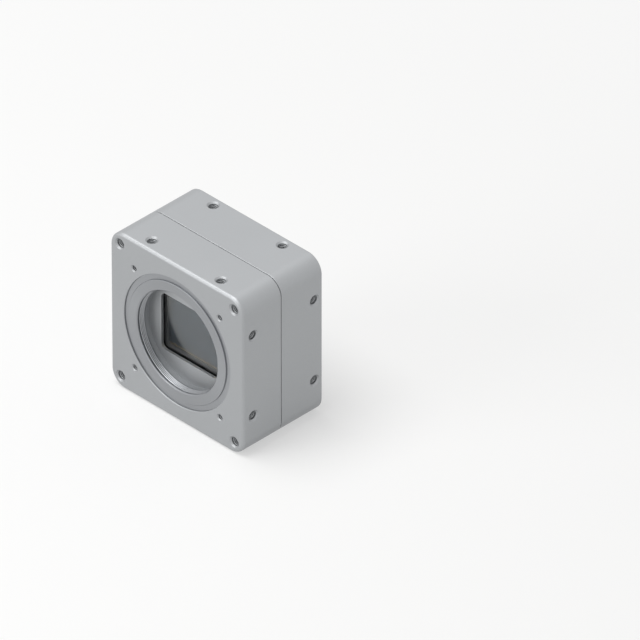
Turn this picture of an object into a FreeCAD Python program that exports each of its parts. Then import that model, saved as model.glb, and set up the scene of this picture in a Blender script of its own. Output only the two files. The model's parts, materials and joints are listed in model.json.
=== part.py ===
"""Machine vision camera: a square two-part aluminium body with a large lens mount in front and
four coaxial jacks, a status light and a round power socket behind.

Frame: the origin is the optical axis at the front face. X points right as seen from the front,
Y points back through the camera, Z points up. All sizes are in millimetres.
"""
import FreeCAD
import Part
import math
import os

Vector = FreeCAD.Vector

# Body: a front housing and a rear housing that meet at one seam
body_width = 80.0
body_height = 80.0
front_depth = 22.6
rear_depth = 24.6
body_corner_radius = 8.0
front_edge_round = 1.45
rear_edge_round = 0.8
seam_edge_break = 0.2
seam_gap = 0.3
seam_gap_depth = 0.7
side_wall = 8.5
rear_wall = 4.0
cavity_corner_radius = 9.0

# Corner screws and the tapped holes of the body
corner_inset = 5.75
corner_screw_diameter = 4.0
corner_screw_core = 3.3
corner_screw_thread_length = 20.0
corner_screw_clearance = 0.4
corner_screw_engagement = 10.0
corner_screw_hole_spare = 1.0
screw_head_diameter = 7.0
screw_head_height = 4.0
screw_head_chamfer = 0.35
screw_key_size = 3.0
screw_key_depth = 2.0
counterbore_clearance = 0.75
screw_head_recess = 0.6
front_hole_drill = 4.2
front_hole_countersink = 5.7
front_hole_depth = 8.0
small_hole_from_ring = 4.45
small_hole_drill = 2.5
small_hole_countersink = 3.5
small_hole_depth = 6.0
side_pitch = 41.5
side_hole_drill = 4.2
side_hole_countersink = 5.7
side_hole_depth = 6.0
side_hole_from_front = 6.0
side_hole_from_rear = 4.7
drill_point_angle = 118.0
cut_overshoot = 1.0

# Lens mount ring and the bore behind it
collar_diameter = 58.6
groove_width = 2.6
groove_depth = 0.7
lens_bore_diameter = 48.4
lens_bore_chamfer = 0.5
mount_ring_depth = 5.0
mount_edge_break = 0.25
mount_relief = 0.5
lens_bore_depth = 7.5
ring_screw_diameter = 2.0
ring_screw_head = 3.8
ring_screw_head_height = 1.3
ring_screw_engagement = 2.8
ring_screw_count = 4
ring_screw_start_angle = 45.0

# Sensor window, gasket, glass, package and chip
window_width = 33.9
window_height = 29.2
window_corner_radius = 2.8
window_web = 1.3
gasket_lip = 0.6
gasket_edge_gap = 0.2
gasket_thickness = 0.5
cover_glass_overlap = 2.6
cover_glass_thickness = 1.0
cover_glass_corner_radius = 1.4
package_rim = 1.0
package_depth = 3.7
package_corner_radius = 1.0
package_well_border = 1.4
chip_width = 32.6
chip_height = 25.2
chip_thickness = 0.7
chip_below_glass = 1.2

# Boards and the stack that carries them
board_thickness = 1.6
board_gap = 1.0
post_from_board_edge = 3.0
post_pitch_z = 28.0
post_diameter = 5.5
stack_thread_diameter = 2.5
stack_hole_clearance = 0.15
stack_thread_engagement = 4.0
stack_hole_spare = 0.8
standoff_flats = 5.0
front_standoff_length = 7.4
board_screw_head = 4.6
board_screw_head_height = 1.6
screw_slot_width = 0.8

# Cooling plate between the sensor board and the processor board
plate_thickness = 2.5
plate_pad_height = 0.5
sensor_boss_width = 20.0
sensor_boss_height = 16.0
sensor_boss_gap = 2.0
boss_corner_radius = 1.0
sensor_pad_thickness = 0.5
processor_pad_thickness = 1.0

# Chips and board links
processor_size = 23.0
processor_thickness = 2.2
processor_pad_border = 1.0
memory_width = 9.0
memory_height = 12.0
memory_thickness = 1.1
memory_pitch = 14.0
inductor_size = 7.0
inductor_height = 3.6
inductor_pitch = 10.0
inductor_row = -9.0
inductor_corner_radius = 1.0
driver_size = 5.0
driver_thickness = 0.9
driver_drop = 7.6
link_length = 30.0
link_width = 5.6
link_from_board_edge = 7.0
link_shroud = 1.3
link_tongue_play = 0.2
link_header_floor = 1.2
link_header_share = 0.55
link_slot_gap = 1.0

# Seal between the two housings
seal_width = 1.5
seal_height = 1.2
seal_inset = 1.5
seal_play = 0.05

# Coaxial jacks
jack_count = 4
jack_from_top = 19.8
jack_panel_height = 6.6
jack_base_size = 9.2
jack_base_height = 3.4
jack_base_corner = 0.4
jack_shoulder_diameter = 9.6
jack_thread_diameter = 6.8
jack_thread_reach = 5.0
jack_taper_length = 0.8
jack_barrel_diameter = 4.8
jack_rim_diameter = 5.1
jack_rim_length = 0.8
jack_reach = 13.0
jack_bore_diameter = 3.7
jack_edge_break = 0.25
jack_hole_play = 0.15
jack_insulator_inset = 3.2
jack_insulator_start = 1.2
jack_contact_diameter = 0.95
jack_contact_socket = 0.5
jack_contact_inset = 2.0
jack_tail_length = 1.1
lug_diameter = 1.4
lug_height = 0.65
lug_reach = 11.3
lug_angle = -52.0
nut_wall = 0.6
nut_thickness = 1.35
nut_turn = 40.0
nut_face_inset = 0.1
nut_chamfer_angle = 30.0
washer_margin = 0.2
washer_thickness = 0.65
washer_gap = 1.1

# Round power socket
power_from_side = 16.9
power_from_bottom = 18.2
power_flange_diameter = 17.4
power_flange_thickness = 0.8
power_flange_step = 1.0
power_collar_reach = 1.7
power_taper_reach = 3.9
power_wall = 1.1
power_reach = 5.3
power_bore_diameter = 8.0
power_socket_depth = 4.2
power_key_width = 1.5
power_key_depth = 0.55
power_key_angle = 222.0
power_thread_diameter = 12.6
power_thread_tail = 2.8
power_nut_wall = 1.2
power_nut_thickness = 2.2
power_nut_flat_cut = 0.5
power_seal_width = 1.4
power_seal_thickness = 0.5
power_tail_gap = 1.8
power_pin_diameter = 0.7
power_pin_length = 3.0
power_inner_pin_count = 3
power_inner_pin_ring = 2.2
power_outer_pin_count = 9
power_outer_pin_ring = 5.5

# Status light
light_below_jacks = 11.5
light_head_diameter = 4.4
light_head_seat = 0.8
light_head_proud = 0.55
light_head_round = 0.3
light_rod_diameter = 3.0
light_gap = 0.8
light_play = 0.1
led_width = 3.2
led_height = 2.4
led_thickness = 0.8

# Small clearance of a screw in its thread and of pieces that sit in a pocket
fit_play = 0.05

# Places along the camera, worked out from the sizes above
body_depth = front_depth + rear_depth
rear_inside = body_depth - rear_wall
cavity_width = body_width - 2 * side_wall
cavity_height = body_height - 2 * side_wall
web_back = lens_bore_depth + window_web
gasket_back = web_back + gasket_thickness
glass_back = gasket_back + cover_glass_thickness
chip_front = glass_back + chip_below_glass
chip_back = chip_front + chip_thickness
package_back = glass_back + package_depth
sensor_board_back = package_back + board_thickness
plate_front = sensor_board_back + plate_pad_height
plate_back = plate_front + plate_thickness
processor_board_front = plate_back + front_standoff_length
processor_board_back = processor_board_front + board_thickness
interface_board_back = rear_inside - jack_panel_height
interface_board_front = interface_board_back - board_thickness
screw_seat = body_depth - screw_head_height - screw_head_recess
screw_tip = front_depth - corner_screw_engagement
ring_screw_seat = web_back - ring_screw_head_height

# Outlines and patterns worked out from the sizes above
corner_pitch_x = body_width - 2 * corner_inset
corner_pitch_z = body_height - 2 * corner_inset
counterbore_diameter = screw_head_diameter + 2 * counterbore_clearance
groove_diameter = collar_diameter + 2 * groove_width
small_pitch = math.sqrt(2) * (groove_diameter / 2 + small_hole_from_ring)
board_width = cavity_width - 2 * board_gap
board_height = cavity_height - 2 * board_gap
board_corner_radius = cavity_corner_radius - board_gap
glass_width = window_width + 2 * cover_glass_overlap
glass_height = window_height + 2 * cover_glass_overlap
package_width = glass_width + 2 * package_rim
package_height = glass_height + 2 * package_rim
seal_line_width = cavity_width + 2 * seal_inset + seal_width
seal_line_height = cavity_height + 2 * seal_inset + seal_width
seal_line_radius = cavity_corner_radius + seal_inset + seal_width / 2
post_pitch_x = board_width - 2 * post_from_board_edge
link_row = board_height / 2 - link_from_board_edge
nut_flats = jack_thread_diameter + 2 * nut_wall
nut_corner_radius = nut_flats / math.sqrt(3)
washer_diameter = 2 * (nut_corner_radius + washer_margin)
jack_pitch = washer_diameter + washer_gap
jack_places = [((jack_count - 1) / 2 - i) * jack_pitch for i in range(jack_count)]
jack_row = body_height / 2 - jack_from_top
power_x = body_width / 2 - power_from_side
power_z = power_from_bottom - body_height / 2
power_collar_diameter = power_flange_diameter - 2 * power_flange_step
power_nose_diameter = power_bore_diameter + 2 * power_wall
power_nut_diameter = power_thread_diameter + 2 * power_nut_wall
light_x = jack_places[0]
light_z = jack_row - light_below_jacks
board_hole_radius = stack_thread_diameter / 2 + stack_hole_clearance


def prism(width, height, radius, y_front, y_back, x=0.0, z=0.0):
    """A block along Y with rounded corners, centred on (x, z)."""
    block = Part.makeBox(width, y_back - y_front, height,
                         Vector(x - width / 2, y_front, z - height / 2))
    if radius <= 0:
        return block
    upright = [e for e in block.Edges if abs(e.tangentAt(e.FirstParameter).y) > 0.5]
    return block.makeFillet(radius, upright)


def rod(radius, y_front, y_back, x=0.0, z=0.0):
    """A round bar along Y."""
    return Part.makeCylinder(radius, y_back - y_front, Vector(x, y_front, z), Vector(0, 1, 0))


def hex_bar(flats, y_front, y_back, x=0.0, z=0.0, turn=0.0):
    """A hexagonal bar along Y, turned about its own axis by an angle in degrees."""
    reach = flats / math.sqrt(3)
    angles = [math.radians(turn + 60 * i) for i in range(7)]
    corners = [Vector(x + reach * math.cos(a), y_front, z + reach * math.sin(a)) for a in angles]
    face = Part.Face(Part.makePolygon(corners))
    return face.extrude(Vector(0, y_back - y_front, 0))


def turned(profile, x=0.0, z=0.0):
    """A turned piece: the closed profile of (radius, y) points spun about the Y axis at (x, z)."""
    points = [Vector(x + radius, y, z) for radius, y in profile]
    face = Part.Face(Part.makePolygon(points + points[:1]))
    return face.revolve(Vector(x, 0, z), Vector(0, 1, 0), 360)


def drilled_hole(drill, countersink, depth):
    """Cutter for a countersunk blind hole: its mouth is at the origin and it runs along +Y."""
    tip = drill / 2 / math.tan(math.radians(drill_point_angle / 2))
    sink = (countersink - drill) / 2
    return turned([(0, -cut_overshoot), (countersink / 2, -cut_overshoot), (countersink / 2, 0),
                   (drill / 2, sink), (drill / 2, depth), (0, depth + tip)])


def aimed(shape, place, inward):
    """The shape, made along +Y from the origin, moved to a place and aimed along a direction."""
    copy = shape.copy()
    turn = FreeCAD.Rotation(Vector(0, 1, 0), Vector(*inward))
    copy.Placement = FreeCAD.Placement(Vector(*place), turn)
    return copy


def rectangle(pitch_x, pitch_z):
    """The four corners of a hole pattern about the optical axis, as (x, z)."""
    return [(x, z) for x in (-pitch_x / 2, pitch_x / 2) for z in (-pitch_z / 2, pitch_z / 2)]


def joined(shapes):
    """Several solids fused into one."""
    return shapes[0].multiFuse(shapes[1:]).removeSplitter() if len(shapes) > 1 else shapes[0]


def side_holes(y_place):
    """Cutters for the tapped holes in the four sides of one housing, at one depth."""
    cutter = drilled_hole(side_hole_drill, side_hole_countersink, side_hole_depth)
    cutters = []
    for across in (-side_pitch / 2, side_pitch / 2):
        for side in (-1, 1):
            cutters.append(aimed(cutter, (side * body_width / 2, y_place, across), (-side, 0, 0)))
            cutters.append(aimed(cutter, (across, y_place, side * body_height / 2), (0, 0, -side)))
    return cutters


def housing_block(y_front, y_back, outer_round, round_at_front):
    """The outside of one housing, with its outer rim rounded and its seam edge broken."""
    block = prism(body_width, body_height, body_corner_radius, y_front, y_back)
    rim = y_front if round_at_front else y_back
    seam = y_back if round_at_front else y_front
    block = block.makeFillet(outer_round, edges_at(block, rim))
    return block.makeChamfer(seam_edge_break, edges_at(block, seam))


def edges_at(shape, y_place):
    """The edges of a shape that lie in one plane across the camera."""
    return [e for e in shape.Edges if all(abs(v.Y - y_place) < 1e-6 for v in e.Vertexes)]


def make_front_housing():
    """Front housing: lens opening, floor with the sensor window, posts and tapped holes."""
    body = housing_block(0, front_depth, front_edge_round, True)
    pocket = groove_diameter / 2 + fit_play
    cuts = [
        prism(cavity_width, cavity_height, cavity_corner_radius, web_back, front_depth),
        turned([(0, 0), (pocket + mount_edge_break, 0), (pocket, mount_edge_break),
                (pocket, mount_ring_depth), (0, mount_ring_depth)]),
        rod(lens_bore_diameter / 2 + mount_relief, mount_ring_depth, lens_bore_depth),
        prism(window_width, window_height, window_corner_radius, lens_bore_depth, web_back),
    ]
    front_hole = drilled_hole(front_hole_drill, front_hole_countersink, front_hole_depth)
    small_hole = drilled_hole(small_hole_drill, small_hole_countersink, small_hole_depth)
    cuts += [aimed(front_hole, (x, 0, z), (0, 1, 0)) for x, z in rectangle(corner_pitch_x, corner_pitch_z)]
    cuts += [aimed(small_hole, (x, 0, z), (0, 1, 0)) for x, z in rectangle(small_pitch, small_pitch)]
    cuts += side_holes(side_hole_from_front)
    for x, z in rectangle(corner_pitch_x, corner_pitch_z):
        cuts.append(rod(corner_screw_core / 2 + fit_play,
                        screw_tip - corner_screw_hole_spare, front_depth, x, z))
    for x, z in ring_screw_places():
        cuts.append(rod(ring_screw_diameter / 2 + fit_play, mount_ring_depth, web_back, x, z))
        cuts.append(rod(ring_screw_head / 2 + fit_play, ring_screw_seat, web_back, x, z))
    body = body.cut(cuts)
    posts = []
    for x, z in rectangle(post_pitch_x, post_pitch_z):
        post = rod(post_diameter / 2, web_back, package_back, x, z)
        hole_front = package_back - stack_thread_engagement - stack_hole_spare
        posts.append(post.cut(rod(stack_thread_diameter / 2 + fit_play, hole_front, package_back, x, z)))
    return joined([body] + posts)


def ring_screw_places():
    """Places of the screws that hold the mount ring from behind, halfway across its width."""
    radius = (lens_bore_diameter / 2 + mount_relief + groove_diameter / 2) / 2
    places = []
    for i in range(ring_screw_count):
        angle = math.radians(ring_screw_start_angle + 360 * i / ring_screw_count)
        places.append((radius * math.cos(angle), radius * math.sin(angle)))
    return places


def make_mount_ring():
    """Lens mount ring: a collar flush with the front face, with a lower flange around it."""
    outer = groove_diameter / 2
    collar = collar_diameter / 2
    bore = lens_bore_diameter / 2
    ring = turned([(bore, lens_bore_chamfer), (bore + lens_bore_chamfer, 0), (collar - mount_edge_break, 0),
                   (collar, mount_edge_break), (collar, groove_depth), (outer, groove_depth),
                   (outer, mount_ring_depth), (bore, mount_ring_depth)])
    holes = []
    for x, z in ring_screw_places():
        holes.append(rod(ring_screw_diameter / 2 + fit_play,
                         mount_ring_depth - ring_screw_engagement - fit_play, mount_ring_depth, x, z))
    return ring.cut(holes)


def slotted_screw(diameter, head, head_height, slot, y_tip, y_seat, x, z):
    """A small screw whose head faces back, with a slot across it."""
    screw = turned([(0, y_tip), (diameter / 2, y_tip), (diameter / 2, y_seat), (head / 2, y_seat),
                    (head / 2, y_seat + head_height), (0, y_seat + head_height)], x, z)
    cut_depth = head_height / 2
    return screw.cut(prism(head + cut_overshoot, slot, 0, y_seat + head_height - cut_depth,
                           y_seat + head_height, x, z))


def make_ring_screws():
    """Screws that hold the mount ring from behind."""
    return [slotted_screw(ring_screw_diameter, ring_screw_head, ring_screw_head_height,
                          screw_slot_width, mount_ring_depth - ring_screw_engagement,
                          ring_screw_seat, x, z) for x, z in ring_screw_places()]


def make_corner_screws():
    """Socket head screws that hold the two housings together."""
    screws = []
    for x, z in rectangle(corner_pitch_x, corner_pitch_z):
        head_top = screw_seat + screw_head_height
        head = screw_head_diameter / 2
        shank = corner_screw_diameter / 2
        core = corner_screw_core / 2
        thread_top = screw_tip + corner_screw_thread_length
        screw = turned([(0, screw_tip), (core, screw_tip), (core, thread_top), (shank, thread_top),
                        (shank, screw_seat), (head, screw_seat),
                        (head, head_top - screw_head_chamfer), (head - screw_head_chamfer, head_top),
                        (0, head_top)], x, z)
        screws.append(screw.cut(hex_bar(screw_key_size, head_top - screw_key_depth, head_top, x, z)))
    return screws


def make_sensor_gasket():
    """Rubber frame that keeps dust out between the window and the sensor's glass."""
    inner_width = window_width + 2 * gasket_lip
    inner_height = window_height + 2 * gasket_lip
    outer = prism(glass_width - 2 * gasket_edge_gap, glass_height - 2 * gasket_edge_gap,
                  cover_glass_corner_radius, web_back, gasket_back)
    return outer.cut(prism(inner_width, inner_height, window_corner_radius + gasket_lip,
                           web_back, gasket_back))


def make_cover_glass():
    """Glass lid of the sensor."""
    return prism(glass_width, glass_height, cover_glass_corner_radius, gasket_back, glass_back)


def make_sensor_package():
    """Ceramic tray of the sensor, with a well for the chip."""
    tray = prism(package_width, package_height, package_corner_radius, glass_back, package_back)
    return tray.cut(prism(chip_width + 2 * package_well_border, chip_height + 2 * package_well_border,
                          package_corner_radius, glass_back, chip_back))


def make_sensor_chip():
    """Silicon chip at the bottom of the well."""
    return prism(chip_width, chip_height, 0, chip_front, chip_back)


def stack_holes(y_front, y_back):
    """Cutters for the four stack screw holes of a board or plate."""
    return [rod(board_hole_radius, y_front, y_back, x, z) for x, z in rectangle(post_pitch_x, post_pitch_z)]


def make_board(y_front):
    """A circuit board with the outline of the cavity and the four stack screw holes."""
    board = prism(board_width, board_height, board_corner_radius, y_front, y_front + board_thickness)
    return board.cut(stack_holes(y_front, y_front + board_thickness))


def make_sensor_board():
    """Board behind the sensor, open in the middle for the cooling boss."""
    opening = prism(sensor_boss_width + 2 * sensor_boss_gap, sensor_boss_height + 2 * sensor_boss_gap,
                    sensor_boss_gap, package_back, sensor_board_back)
    return make_board(package_back).cut(opening)


def make_cooling_plate():
    """Aluminium plate that carries heat from the sensor and the processor."""
    plate = prism(board_width, board_height, board_corner_radius, plate_front, plate_back)
    sensor_boss = prism(sensor_boss_width, sensor_boss_height, boss_corner_radius,
                        package_back + sensor_pad_thickness, plate_front)
    pad_size = processor_size - 2 * processor_pad_border
    boss_back = processor_board_front - processor_thickness - processor_pad_thickness
    processor_boss = prism(pad_size, pad_size, boss_corner_radius, plate_back, boss_back)
    pads = [rod(post_diameter / 2, sensor_board_back, plate_front, x, z)
            for x, z in rectangle(post_pitch_x, post_pitch_z)]
    link_slot = prism(link_length + 2 * link_slot_gap, link_width + 2 * link_slot_gap,
                      link_slot_gap, plate_front, plate_back, 0, link_row)
    cuts = stack_holes(sensor_board_back, plate_back) + [link_slot]
    return joined([plate, sensor_boss, processor_boss] + pads).cut(cuts)


def make_sensor_pad():
    """Soft heat pad between the sensor and the cooling boss."""
    return prism(sensor_boss_width, sensor_boss_height, 0,
                 package_back, package_back + sensor_pad_thickness)


def make_processor_chip():
    """Processor on the front of its board."""
    return prism(processor_size, processor_size, 0,
                 processor_board_front - processor_thickness, processor_board_front)


def make_processor_pad():
    """Soft heat pad between the processor and the cooling plate."""
    pad_size = processor_size - 2 * processor_pad_border
    pad_back = processor_board_front - processor_thickness
    return prism(pad_size, pad_size, 0, pad_back - processor_pad_thickness, pad_back)


def make_memory_chips():
    """Four memory chips on the back of the processor board."""
    return [prism(memory_width, memory_height, 0, processor_board_back,
                  processor_board_back + memory_thickness, x, z)
            for x, z in rectangle(memory_pitch, memory_pitch)]


def make_inductors():
    """Power inductors on the front of the interface board."""
    places = [-inductor_pitch, 0.0, inductor_pitch]
    return [prism(inductor_size, inductor_size, inductor_corner_radius,
                  interface_board_front - inductor_height,
                  interface_board_front, x, inductor_row) for x in places]


def make_line_drivers():
    """One line driver chip below each jack's contact, on the front of the interface board."""
    return [prism(driver_size, driver_size, 0, interface_board_front - driver_thickness,
                  interface_board_front, x, jack_row - driver_drop) for x in jack_places]


def make_standoffs(y_front, y_back, stud_length):
    """Hexagonal stack spacers with a stud in front and a tapped hole behind."""
    spacers = []
    for x, z in rectangle(post_pitch_x, post_pitch_z):
        body = joined([hex_bar(standoff_flats, y_front, y_back, x, z),
                       rod(stack_thread_diameter / 2, y_front - stud_length, y_front, x, z)])
        hole_front = y_back - stack_thread_engagement - stack_hole_spare
        spacers.append(body.cut(rod(stack_thread_diameter / 2 + fit_play, hole_front, y_back, x, z)))
    return spacers


def make_front_standoffs():
    """Spacers that hold the cooling plate and sensor board to the front housing's posts."""
    return make_standoffs(plate_back, processor_board_front,
                          plate_back - package_back + stack_thread_engagement)


def make_rear_standoffs():
    """Spacers between the processor board and the interface board."""
    return make_standoffs(processor_board_back, interface_board_front,
                          board_thickness + stack_thread_engagement)


def make_board_screws():
    """Screws that hold the interface board."""
    return [slotted_screw(stack_thread_diameter, board_screw_head, board_screw_head_height,
                          screw_slot_width, interface_board_front - stack_thread_engagement,
                          interface_board_back, x, z) for x, z in rectangle(post_pitch_x, post_pitch_z)]


def make_link(y_front, y_back, row):
    """A board link: a header with a shroud in front, and a socket whose tongue enters it."""
    joint = y_front + (y_back - y_front) * link_header_share
    shroud_length = link_length - 2 * link_shroud
    shroud_width = link_width - 2 * link_shroud
    play = link_tongue_play
    floor = y_front + link_header_floor
    header = prism(link_length, link_width, 0, y_front, joint, 0, row)
    header = header.cut(prism(shroud_length, shroud_width, 0, floor, joint, 0, row))
    tongue = prism(shroud_length - 2 * play, shroud_width - 2 * play, 0, floor + play, joint, 0, row)
    socket = joined([prism(link_length, link_width, 0, joint, y_back, 0, row), tongue])
    return header, socket


def seal_ring(width, y_front, y_back):
    """A band that runs round inside the corner screws, centred on the seal's line."""
    outer = prism(seal_line_width + width, seal_line_height + width, seal_line_radius + width / 2,
                  y_front, y_back)
    inner = prism(seal_line_width - width, seal_line_height - width, seal_line_radius - width / 2,
                  y_front, y_back)
    return outer.cut(inner)


def make_housing_seal():
    """Rubber seal between the housings."""
    return seal_ring(seal_width, front_depth, front_depth + seal_height)


def make_rear_housing():
    """Rear housing: a cup whose back wall carries the jacks, the light and the power socket. It meets
    the front housing on a land set back from its sides, so that the seam shows as a narrow gap."""
    body = housing_block(front_depth + seam_gap, body_depth, rear_edge_round, False)
    land = prism(body_width - 2 * seam_gap_depth, body_height - 2 * seam_gap_depth,
                 body_corner_radius - seam_gap_depth, front_depth, front_depth + seam_gap)
    body = joined([body, land])
    cuts = [
        prism(cavity_width, cavity_height, cavity_corner_radius, front_depth, rear_inside),
        seal_ring(seal_width + 2 * seal_play, front_depth, front_depth + seal_height),
    ]
    for x, z in rectangle(corner_pitch_x, corner_pitch_z):
        cuts.append(rod(corner_screw_diameter / 2 + corner_screw_clearance, front_depth, body_depth, x, z))
        cuts.append(rod(counterbore_diameter / 2, screw_seat, body_depth, x, z))
    cuts += side_holes(body_depth - side_hole_from_rear)
    for x in jack_places:
        cuts.append(rod(jack_thread_diameter / 2 + jack_hole_play, rear_inside, body_depth, x, jack_row))
    cuts.append(rod(power_thread_diameter / 2 + fit_play, rear_inside, body_depth, power_x, power_z))
    cuts.append(rod(power_thread_diameter / 2 + fit_play + power_seal_width,
                    body_depth - power_seal_thickness, body_depth, power_x, power_z))
    cuts.append(rod(light_rod_diameter / 2 + light_play, rear_inside, body_depth, light_x, light_z))
    cuts.append(rod(light_head_diameter / 2 + light_play, body_depth - light_head_seat, body_depth,
                    light_x, light_z))
    return body.cut(cuts)


def make_jack(x):
    """Body of one coaxial jack: base on the board, shoulder, thread, and barrel with bayonet lugs."""
    base_back = interface_board_back + jack_base_height
    base = prism(jack_base_size, jack_base_size, jack_base_corner, interface_board_back,
                 base_back, x, jack_row)
    end = body_depth + jack_reach
    thread_end = body_depth + jack_thread_reach
    rim_start = end - jack_rim_length
    soft = jack_edge_break
    barrel = turned([
        (0, base_back), (jack_shoulder_diameter / 2, base_back),
        (jack_shoulder_diameter / 2, rear_inside), (jack_thread_diameter / 2, rear_inside),
        (jack_thread_diameter / 2, thread_end), (jack_barrel_diameter / 2, thread_end + jack_taper_length),
        (jack_barrel_diameter / 2, rim_start), (jack_rim_diameter / 2, rim_start),
        (jack_rim_diameter / 2, end - soft), (jack_rim_diameter / 2 - soft, end), (0, end)],
        x, jack_row)
    lug_y = body_depth + lug_reach
    lugs = []
    for side in (0, 180):
        angle = math.radians(lug_angle + side)
        outward = Vector(math.cos(angle), 0, math.sin(angle))
        start = Vector(x, lug_y, jack_row) + outward * (jack_bore_diameter / 2 + soft)
        length = jack_rim_diameter / 2 + lug_height - jack_bore_diameter / 2 - soft
        lugs.append(Part.makeCylinder(lug_diameter / 2, length, start, outward))
    bore = turned([(0, interface_board_back), (jack_bore_diameter / 2, interface_board_back),
                   (jack_bore_diameter / 2, end - soft), (jack_bore_diameter / 2 + soft, end),
                   (0, end)], x, jack_row)
    return joined([base, barrel] + lugs).cut(bore)


def make_jack_insulator(x):
    """White insulator inside one jack."""
    start = interface_board_back + jack_insulator_start
    stop = body_depth + jack_reach - jack_insulator_inset
    body = rod(jack_bore_diameter / 2 - fit_play, start, stop, x, jack_row)
    return body.cut(rod(jack_contact_diameter / 2 + fit_play, start, stop, x, jack_row))


def make_jack_contact(x):
    """Centre contact of one jack: a tail through the board and a slotted socket in front."""
    tail = interface_board_front - jack_tail_length
    tip = body_depth + jack_reach - jack_contact_inset
    contact = rod(jack_contact_diameter / 2, tail, tip, x, jack_row)
    return contact.cut(rod(jack_contact_socket / 2, tip - jack_contact_inset, tip, x, jack_row))


def make_interface_board():
    """Board behind the rear wall, drilled for the jack contacts and the power pins."""
    cuts = [rod(jack_contact_diameter / 2 + fit_play, interface_board_front, interface_board_back,
                x, jack_row) for x in jack_places]
    for x, z in power_pin_places():
        cuts.append(rod(power_pin_diameter / 2 + fit_play, interface_board_front,
                        interface_board_back, x, z))
    return make_board(interface_board_front).cut(cuts)


def make_jack_washers():
    """Thin washers under the nuts of the jacks."""
    return [turned([(jack_thread_diameter / 2 + fit_play, body_depth), (washer_diameter / 2, body_depth),
                    (washer_diameter / 2, body_depth + washer_thickness),
                    (jack_thread_diameter / 2 + fit_play, body_depth + washer_thickness)], x, jack_row)
            for x in jack_places]


def make_jack_nuts():
    """Hexagonal nuts that hold the jacks to the rear wall, chamfered at their outer corners."""
    nuts = []
    front = body_depth + washer_thickness
    back = front + nut_thickness
    bore = jack_thread_diameter / 2 + fit_play
    face = nut_flats / 2 - nut_face_inset
    reach = nut_corner_radius + cut_overshoot
    drop = (reach - face) * math.tan(math.radians(nut_chamfer_angle))
    for x in jack_places:
        bar = hex_bar(nut_flats, front, back, x, jack_row, nut_turn)
        form = turned([(bore, front), (reach, front), (reach, back - drop), (face, back), (bore, back)],
                      x, jack_row)
        nuts.append(bar.common(form))
    return nuts


def power_pin_places():
    """Places of the power socket's pins, on two rings."""
    places = []
    for count, ring in ((power_inner_pin_count, power_inner_pin_ring),
                        (power_outer_pin_count, power_outer_pin_ring)):
        for i in range(count):
            angle = 2 * math.pi * i / count + math.pi / 2
            places.append((power_x + ring / 2 * math.cos(angle), power_z + ring / 2 * math.sin(angle)))
    return places


def make_power_shell():
    """Shell of the power socket: flange, tapered barrel, nose with a keyway, and threaded tail."""
    flange = power_flange_diameter / 2
    collar = power_collar_diameter / 2
    nose = power_nose_diameter / 2
    bore = power_bore_diameter / 2
    thread = power_thread_diameter / 2
    tail = rear_inside - power_thread_tail
    soft = jack_edge_break
    reach = body_depth + power_reach
    shell = turned([
        (bore, tail), (thread, tail), (thread, body_depth), (flange, body_depth),
        (flange, body_depth + power_flange_thickness - soft),
        (flange - soft, body_depth + power_flange_thickness), (collar, body_depth + power_flange_thickness),
        (collar, body_depth + power_collar_reach), (nose, body_depth + power_taper_reach),
        (nose, reach - soft), (nose - soft, reach), (bore, reach)], power_x, power_z)
    key = prism(power_key_depth + bore, power_key_width, 0, reach - power_socket_depth, reach,
                (power_key_depth + bore) / 2, 0)
    key.rotate(Vector(0, 0, 0), Vector(0, -1, 0), power_key_angle)
    key.translate(Vector(power_x, 0, power_z))
    return shell.cut(key)


def make_power_nut():
    """Nut on the inside of the rear wall, with two flats."""
    front = rear_inside - power_nut_thickness
    nut = turned([(power_thread_diameter / 2 + fit_play, front), (power_nut_diameter / 2, front),
                  (power_nut_diameter / 2, rear_inside),
                  (power_thread_diameter / 2 + fit_play, rear_inside)], power_x, power_z)
    return nut.common(prism(power_nut_diameter - 2 * power_nut_flat_cut, power_nut_diameter, 0,
                            front, rear_inside, power_x, power_z))


def make_power_seal():
    """Flat rubber ring in a seat under the flange of the power socket."""
    inner = power_thread_diameter / 2 + fit_play
    outer = inner + power_seal_width - fit_play
    front = body_depth - power_seal_thickness
    return rod(outer, front, body_depth, power_x, power_z).cut(
        rod(inner, front, body_depth, power_x, power_z))


def make_power_insulator():
    """Insulator that carries the pins."""
    start = interface_board_back + power_tail_gap
    stop = body_depth + power_reach - power_socket_depth
    body = rod(power_bore_diameter / 2 - fit_play, start, stop, power_x, power_z)
    return body.cut([rod(power_pin_diameter / 2 + fit_play, start, stop, x, z)
                     for x, z in power_pin_places()])


def make_power_pins():
    """Pins of the power socket, from their rounded tips down through the board."""
    tail = interface_board_front - jack_tail_length
    tip = body_depth + power_reach - power_socket_depth + power_pin_length
    radius = power_pin_diameter / 2
    taper = radius / 2
    return [turned([(0, tail), (radius, tail), (radius, tip - taper), (taper, tip), (0, tip)], x, z)
            for x, z in power_pin_places()]


def make_light_pipe():
    """Clear light pipe: a rounded head outside and a rod that reaches in to the lamp."""
    head = light_head_diameter / 2
    rod_radius = light_rod_diameter / 2
    front = interface_board_back + led_thickness + light_gap
    seat = body_depth - light_head_seat
    top = body_depth + light_head_proud
    pipe = turned([(0, front), (rod_radius, front), (rod_radius, seat), (head, seat),
                   (head, top - light_head_round), (head - light_head_round, top), (0, top)],
                  light_x, light_z)
    return pipe


def make_status_lamp():
    """Small lamp on the interface board, behind the light pipe."""
    return prism(led_width, led_height, 0, interface_board_back,
                 interface_board_back + led_thickness, light_x, light_z)


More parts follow.
